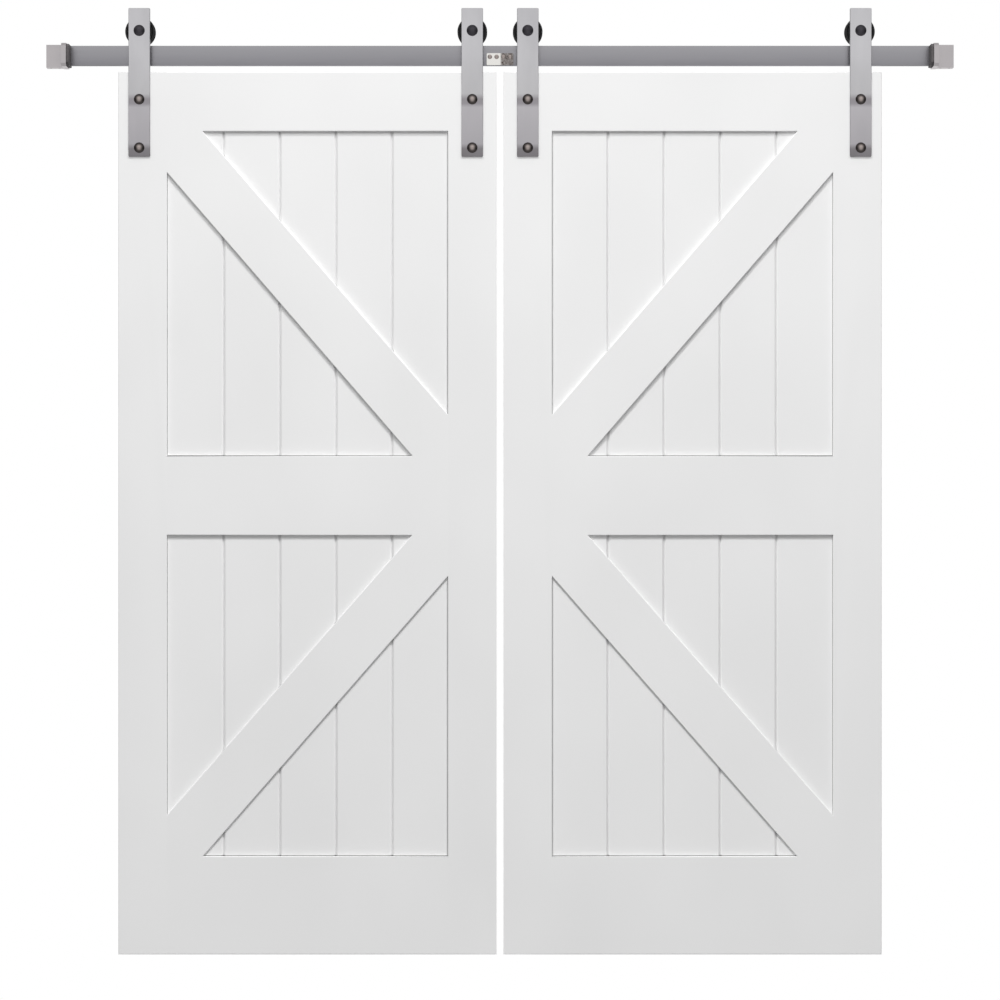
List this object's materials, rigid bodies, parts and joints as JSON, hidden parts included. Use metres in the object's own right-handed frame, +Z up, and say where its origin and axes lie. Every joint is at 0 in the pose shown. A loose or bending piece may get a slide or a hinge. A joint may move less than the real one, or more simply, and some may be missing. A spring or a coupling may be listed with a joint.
{
  "type": "sliding barn door",
  "caption": "Sliding barn door: a mirrored set of K-braced, primed plank leaves hung by strap hangers on a flat wall track with end stops.",
  "frame": {"origin": "on the wall plane, at the middle of the track's length and height: the centre of the splice block's rear face", "axes": "+Z up, +X to the right as seen from the room, +Y into the wall, so the room side faces -Y"},
  "size_m": [2.1978, 0.1251, 2.2875],
  "materials": {
    "primed_mdf": "white primer, sprayed, matt",
    "beech": "bare turned dowel",
    "satin_nickel_strap": "satin nickel plate",
    "satin_nickel_track": "satin nickel plate, brushed lengthwise",
    "polished_nickel": "polished nickel plate",
    "polished_dark_nickel": "polished dark nickel",
    "black_oxide": "black oxide, lightly oiled",
    "zinc_plate": "bright zinc plate",
    "bearing_steel": "ground",
    "black_nylon": "moulded and turned nylon",
    "rubber": "matt moulded rubber"
  },
  "bodies": {
    "track": {"left_track_bar": "satin_nickel_track", "right_track_bar": "satin_nickel_track", "splice_plate": "polished_nickel", "splice_block": "zinc_plate", "splice_screws": "polished_dark_nickel", "standoffs": "satin_nickel_strap", "wall_lag_screws": "zinc_plate", "left_stop_block": "satin_nickel_strap", "right_stop_block": "satin_nickel_strap", "left_stop_bumper": "rubber", "right_stop_bumper": "rubber", "stop_set_screws": "black_oxide"},
    "left_leaf": {"left_outer_stile": "primed_mdf", "left_inner_stile": "primed_mdf", "left_top_rail": "primed_mdf", "left_middle_rail": "primed_mdf", "left_bottom_rail": "primed_mdf", "left_frame_dowels": "beech", "left_upper_planks": "primed_mdf", "left_lower_planks": "primed_mdf", "left_upper_braces": "primed_mdf", "left_lower_braces": "primed_mdf", "left_outer_strap": "satin_nickel_strap", "left_inner_strap": "satin_nickel_strap", "left_door_bolts": "polished_dark_nickel", "left_door_nuts": "zinc_plate", "left_axle_bolts": "black_oxide", "left_axle_spacers": "zinc_plate", "left_axle_nuts": "zinc_plate", "left_bearing_inner_rings": "bearing_steel", "left_anti_jump_discs": "black_nylon", "left_disc_screws": "zinc_plate"},
    "right_leaf": {"right_outer_stile": "primed_mdf", "right_inner_stile": "primed_mdf", "right_top_rail": "primed_mdf", "right_middle_rail": "primed_mdf", "right_bottom_rail": "primed_mdf", "right_frame_dowels": "beech", "right_upper_planks": "primed_mdf", "right_lower_planks": "primed_mdf", "right_upper_braces": "primed_mdf", "right_lower_braces": "primed_mdf", "right_outer_strap": "satin_nickel_strap", "right_inner_strap": "satin_nickel_strap", "right_door_bolts": "polished_dark_nickel", "right_door_nuts": "zinc_plate", "right_axle_bolts": "black_oxide", "right_axle_spacers": "zinc_plate", "right_axle_nuts": "zinc_plate", "right_bearing_inner_rings": "bearing_steel", "right_anti_jump_discs": "black_nylon", "right_disc_screws": "zinc_plate"},
    "left_outer_wheel": {"left_outer_wheel": "black_nylon", "left_outer_wheel_bearing": "bearing_steel"},
    "left_inner_wheel": {"left_inner_wheel": "black_nylon", "left_inner_wheel_bearing": "bearing_steel"},
    "right_outer_wheel": {"right_outer_wheel": "black_nylon", "right_outer_wheel_bearing": "bearing_steel"},
    "right_inner_wheel": {"right_inner_wheel": "black_nylon", "right_inner_wheel_bearing": "bearing_steel"}
  },
  "joints": [
    {"name": "left_leaf_slide", "type": "slide", "parent": "track", "child": "left_leaf", "axis": [-1, 0, 0], "range_m": [-0.008, 0.142]},
    {"name": "right_leaf_slide", "type": "slide", "parent": "track", "child": "right_leaf", "axis": [1, 0, 0], "range_m": [-0.008, 0.142]},
    {"name": "left_outer_wheel_spin", "type": "hinge", "parent": "left_leaf", "child": "left_outer_wheel", "pos_m": [-0.8716, -0.03492, 0.0577], "axis": [0, -1, 0], "continuous": true},
    {"name": "left_inner_wheel_spin", "type": "hinge", "parent": "left_leaf", "child": "left_inner_wheel", "pos_m": [-0.0671, -0.03492, 0.0577], "axis": [0, -1, 0], "continuous": true},
    {"name": "right_outer_wheel_spin", "type": "hinge", "parent": "right_leaf", "child": "right_outer_wheel", "pos_m": [0.8716, -0.03492, 0.0577], "axis": [0, 1, 0], "continuous": true},
    {"name": "right_inner_wheel_spin", "type": "hinge", "parent": "right_leaf", "child": "right_inner_wheel", "pos_m": [0.0671, -0.03492, 0.0577], "axis": [0, 1, 0], "continuous": true}
  ],
  "couplings": [
    {"joint": "left_outer_wheel_spin", "follows": "left_leaf_slide", "rad_per_m": 30.303},
    {"joint": "left_inner_wheel_spin", "follows": "left_leaf_slide", "rad_per_m": 30.303},
    {"joint": "right_outer_wheel_spin", "follows": "right_leaf_slide", "rad_per_m": 30.303},
    {"joint": "right_inner_wheel_spin", "follows": "right_leaf_slide", "rad_per_m": 30.303}
  ]
}
